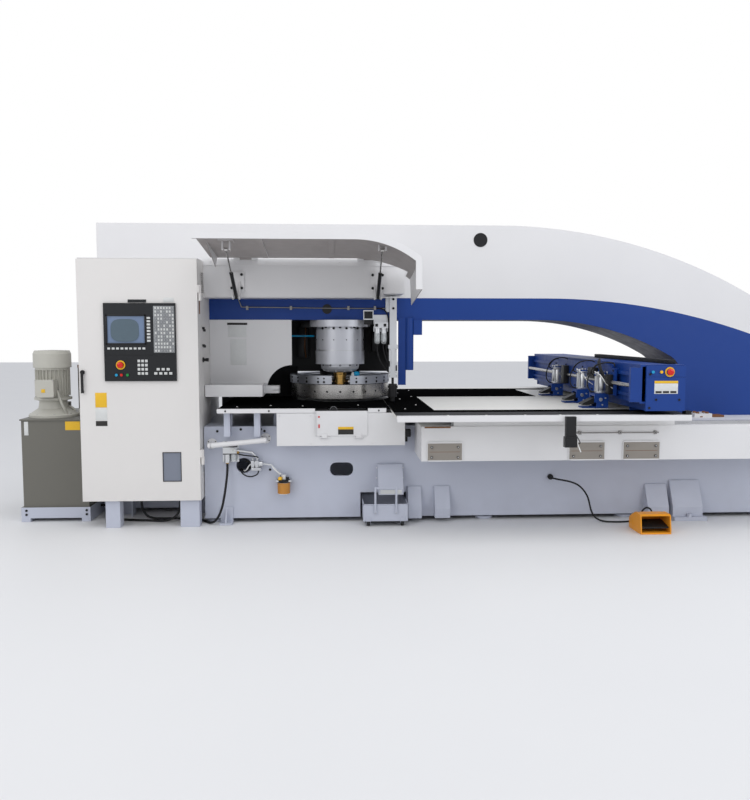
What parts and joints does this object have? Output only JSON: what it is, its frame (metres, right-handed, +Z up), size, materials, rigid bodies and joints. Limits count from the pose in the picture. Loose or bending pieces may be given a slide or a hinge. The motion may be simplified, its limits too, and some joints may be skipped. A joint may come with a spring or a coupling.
{
  "type": "cnc turret punch press",
  "caption": "Closed-frame sheet metal punching machine: turret head under a raised hood, control cabinet, table and feed beam with clamps.",
  "frame": {"origin": "on the floor, on the levelling pad straight under the ram axis", "axes": "+X along the frame to the right as the operator sees it, +Y away from the operator, +Z up"},
  "size_m": [5.285, 2.636, 2.0606],
  "materials": {
    "white_paint": "fine textured off-white enamel",
    "blue_paint": "semi-gloss royal blue enamel",
    "bed_paint": "satin pale grey-blue enamel",
    "tank_paint": "satin dark grey enamel",
    "motor_paint": "satin grey motor enamel",
    "ram_steel": "silver painted and turned steel",
    "polished_steel": "turned and polished steel",
    "rod_bronze": "polished golden rod",
    "black_steel": "satin black",
    "brush_black": "dense black nylon bristle",
    "alu_grey": "anodised aluminium and light grey paint",
    "rail_steel": "ground rail steel",
    "panel_plastic": "dark grey textured panel",
    "red_plastic": "glossy red",
    "blue_plastic": "glossy blue",
    "yellow_plastic": "glossy yellow",
    "green_plastic": "glossy green",
    "pedal_yellow": "yellow cast housing enamel",
    "black_rubber": "black rubber",
    "wheel_rubber": "castor tyre"
  },
  "bodies": {
    "machine": {"frame_outer": "white_paint", "frame_band": "blue_paint", "bed": "bed_paint", "floor_feet": "bed_paint", "cabinet_shell": "white_paint", "hydraulic_tank": "tank_paint", "pump_motor": "motor_paint", "head_box": "white_paint", "ram_cylinder": "ram_steel", "throat_plate": "white_paint", "tool_tray": "white_paint", "turret_housings": "black_steel", "turret_guards": "alu_grey", "reposition_unit": "alu_grey", "hose_guard": "blue_paint", "front_cover": "white_paint", "centre_table": "black_steel", "side_tables": "white_paint", "brush_strips": "brush_black", "guide_beams": "white_paint", "beam_rails": "rail_steel", "limit_sensor": "black_steel", "lube_pipes": "alu_grey", "service_unit": "alu_grey", "scrap_chute": "white_paint", "pedal_housing": "pedal_yellow", "pedal_cord": "black_rubber", "air_hose": "black_rubber", "cabinet_cable": "black_rubber"},
    "scrap_cart": {"scrap_cart": "bed_paint"},
    "feed_beam": {"feed_beam": "blue_paint"},
    "beam_estop": {"beam_estop": "red_plastic"},
    "beam_button_blue": {"beam_button_blue": "blue_plastic"},
    "beam_button_yellow": {"beam_button_yellow": "yellow_plastic"},
    "clamp_carriage": {"clamp_carriage": "blue_paint"},
    "clamp_jaw_near": {"clamp_jaw_near": "black_steel"},
    "clamp_jaw_mid": {"clamp_jaw_mid": "black_steel"},
    "clamp_jaw_far": {"clamp_jaw_far": "black_steel"},
    "ram_rod": {"ram_rod": "rod_bronze"},
    "upper_turret": {"upper_turret": "polished_steel"},
    "active_punch": {"active_punch": "rod_bronze"},
    "lower_turret": {"lower_turret": "polished_steel"},
    "index_pin": {"index_pin": "polished_steel"},
    "reposition_rod": {"reposition_rod": "black_steel"},
    "hood": {"hood": "white_paint"},
    "strut_tube_left": {"strut_tube_left": "black_steel"},
    "strut_tube_right": {"strut_tube_right": "black_steel"},
    "strut_rod_left": {"strut_rod_left": "polished_steel"},
    "strut_rod_right": {"strut_rod_right": "polished_steel"},
    "cabinet_door": {"cabinet_door": "white_paint", "operator_panel": "panel_plastic"},
    "door_handle": {"door_handle": "black_steel"},
    "panel_estop": {"panel_estop": "red_plastic"},
    "button_blue": {"button_blue": "blue_plastic"},
    "button_red": {"button_red": "red_plastic"},
    "button_green": {"button_green": "green_plastic"},
    "access_door": {"access_door": "white_paint"},
    "foot_pedal": {"foot_pedal": "black_rubber"},
    "cart_wheels_front": {"cart_wheels_front": "wheel_rubber"},
    "cart_wheels_rear": {"cart_wheels_rear": "wheel_rubber"}
  },
  "joints": [
    {"name": "beam_slide", "type": "slide", "parent": "machine", "child": "feed_beam", "axis": [-1, 0, 0], "range_m": [0, 1]},
    {"name": "carriage_slide", "type": "slide", "parent": "feed_beam", "child": "clamp_carriage", "axis": [0, 1, 0], "range_m": [-0.28, 0.8]},
    {"name": "jaw_near_close", "type": "hinge", "parent": "clamp_carriage", "child": "clamp_jaw_near", "pos_m": [1.72, -0.8, 0.85], "axis": [0, -1, 0], "range_deg": [0, 4.4]},
    {"name": "jaw_mid_close", "type": "hinge", "parent": "clamp_carriage", "child": "clamp_jaw_mid", "pos_m": [1.72, -0.4, 0.85], "axis": [0, -1, 0], "range_deg": [0, 4.4]},
    {"name": "jaw_far_close", "type": "hinge", "parent": "clamp_carriage", "child": "clamp_jaw_far", "pos_m": [1.72, 0.25, 0.85], "axis": [0, -1, 0], "range_deg": [0, 4.4]},
    {"name": "beam_estop_press", "type": "slide", "parent": "feed_beam", "child": "beam_estop", "axis": [0, 1, 0], "range_m": [0, 0.006], "stiffness_N_per_m": 400},
    {"name": "beam_blue_press", "type": "slide", "parent": "feed_beam", "child": "beam_button_blue", "axis": [0, 1, 0], "range_m": [0, 0.004], "stiffness_N_per_m": 400},
    {"name": "beam_yellow_press", "type": "slide", "parent": "feed_beam", "child": "beam_button_yellow", "axis": [0, 1, 0], "range_m": [0, 0.004], "stiffness_N_per_m": 400},
    {"name": "ram_strike", "type": "slide", "parent": "machine", "child": "ram_rod", "axis": [0, 0, -1], "range_m": [0, 0.037]},
    {"name": "turret_index", "type": "hinge", "parent": "machine", "child": "upper_turret", "pos_m": [0, 0.16, 0.86], "axis": [0, 0, 1], "continuous": true},
    {"name": "punch_stroke", "type": "slide", "parent": "upper_turret", "child": "active_punch", "axis": [0, 0, -1], "range_m": [0, 0.037]},
    {"name": "lower_turret_index", "type": "hinge", "parent": "machine", "child": "lower_turret", "pos_m": [0, 0.16, 0.74], "axis": [0, 0, 1], "continuous": true},
    {"name": "index_pin_drop", "type": "slide", "parent": "machine", "child": "index_pin", "axis": [0, 0, -1], "range_m": [0, 0.026]},
    {"name": "reposition_lift", "type": "slide", "parent": "machine", "child": "reposition_rod", "axis": [0, 0, 1], "range_m": [0, 0.04]},
    {"name": "hood_close", "type": "hinge", "parent": "machine", "child": "hood", "pos_m": [0, -0.53, 1.8], "axis": [1, 0, 0], "range_deg": [0, 55]},
    {"name": "strut_left_swing", "type": "hinge", "parent": "machine", "child": "strut_tube_left", "pos_m": [-0.703, -0.565, 1.53], "axis": [1, 0, 0], "range_deg": [0, 60.3]},
    {"name": "strut_left_slide", "type": "slide", "parent": "strut_tube_left", "child": "strut_rod_left", "axis": [0, -0.8779, 0.4789], "range_m": [-0.2497, 0]},
    {"name": "strut_right_swing", "type": "hinge", "parent": "machine", "child": "strut_tube_right", "pos_m": [0.256, -0.565, 1.53], "axis": [1, 0, 0], "range_deg": [0, 60.3]},
    {"name": "strut_right_slide", "type": "slide", "parent": "strut_tube_right", "child": "strut_rod_right", "axis": [0, -0.8779, 0.4789], "range_m": [-0.2497, 0]},
    {"name": "cabinet_door_open", "type": "hinge", "parent": "machine", "child": "cabinet_door", "pos_m": [-0.918, -0.7555, 1], "axis": [0, 0, 1], "range_deg": [0, 90]},
    {"name": "handle_turn", "type": "hinge", "parent": "cabinet_door", "child": "door_handle", "pos_m": [-1.674, -0.7765, 1.036], "axis": [0, -1, 0], "range_deg": [0, 90]},
    {"name": "panel_estop_press", "type": "slide", "parent": "cabinet_door", "child": "panel_estop", "axis": [0, 1, 0], "range_m": [0, 0.006], "stiffness_N_per_m": 400},
    {"name": "button_blue_press", "type": "slide", "parent": "cabinet_door", "child": "button_blue", "axis": [0, 1, 0], "range_m": [0, 0.004], "stiffness_N_per_m": 400},
    {"name": "button_red_press", "type": "slide", "parent": "cabinet_door", "child": "button_red", "axis": [0, 1, 0], "range_m": [0, 0.004], "stiffness_N_per_m": 400},
    {"name": "button_green_press", "type": "slide", "parent": "cabinet_door", "child": "button_green", "axis": [0, 1, 0], "range_m": [0, 0.004], "stiffness_N_per_m": 400},
    {"name": "access_door_drop", "type": "hinge", "parent": "machine", "child": "access_door", "pos_m": [0, -0.798, 0.602], "axis": [1, 0, 0], "range_deg": [0, 90]},
    {"name": "pedal_press", "type": "hinge", "parent": "machine", "child": "foot_pedal", "pos_m": [2.017, -0.96, 0.052], "axis": [1, 0, 0], "range_deg": [0, 6], "stiffness_Nm_per_rad": 20, "springref_deg": -8.59},
    {"name": "cart_roll", "type": "slide", "parent": "machine", "child": "scrap_cart", "axis": [0, -1, 0], "range_m": [0, 0.35]},
    {"name": "front_wheels_spin", "type": "hinge", "parent": "scrap_cart", "child": "cart_wheels_front", "pos_m": [0.295, -0.78, 0.025], "axis": [1, 0, 0], "range_deg": [-1, 810]},
    {"name": "rear_wheels_spin", "type": "hinge", "parent": "scrap_cart", "child": "cart_wheels_rear", "pos_m": [0.295, -0.478, 0.025], "axis": [1, 0, 0], "range_deg": [-1, 810]}
  ],
  "couplings": [
    {"joint": "punch_stroke", "follows": "ram_strike", "ratio": 1},
    {"joint": "lower_turret_index", "follows": "turret_index", "ratio": 1},
    {"joint": "front_wheels_spin", "follows": "cart_roll", "rad_per_m": 40},
    {"joint": "rear_wheels_spin", "follows": "cart_roll", "rad_per_m": 40},
    {"joint": "strut_left_swing", "follows": "hood_close", "ratio": 1.091},
    {"joint": "strut_left_slide", "follows": "hood_close", "m_per_rad": -0.2591},
    {"joint": "strut_right_swing", "follows": "hood_close", "ratio": 1.091},
    {"joint": "strut_right_slide", "follows": "hood_close", "m_per_rad": -0.2591}
  ]
}
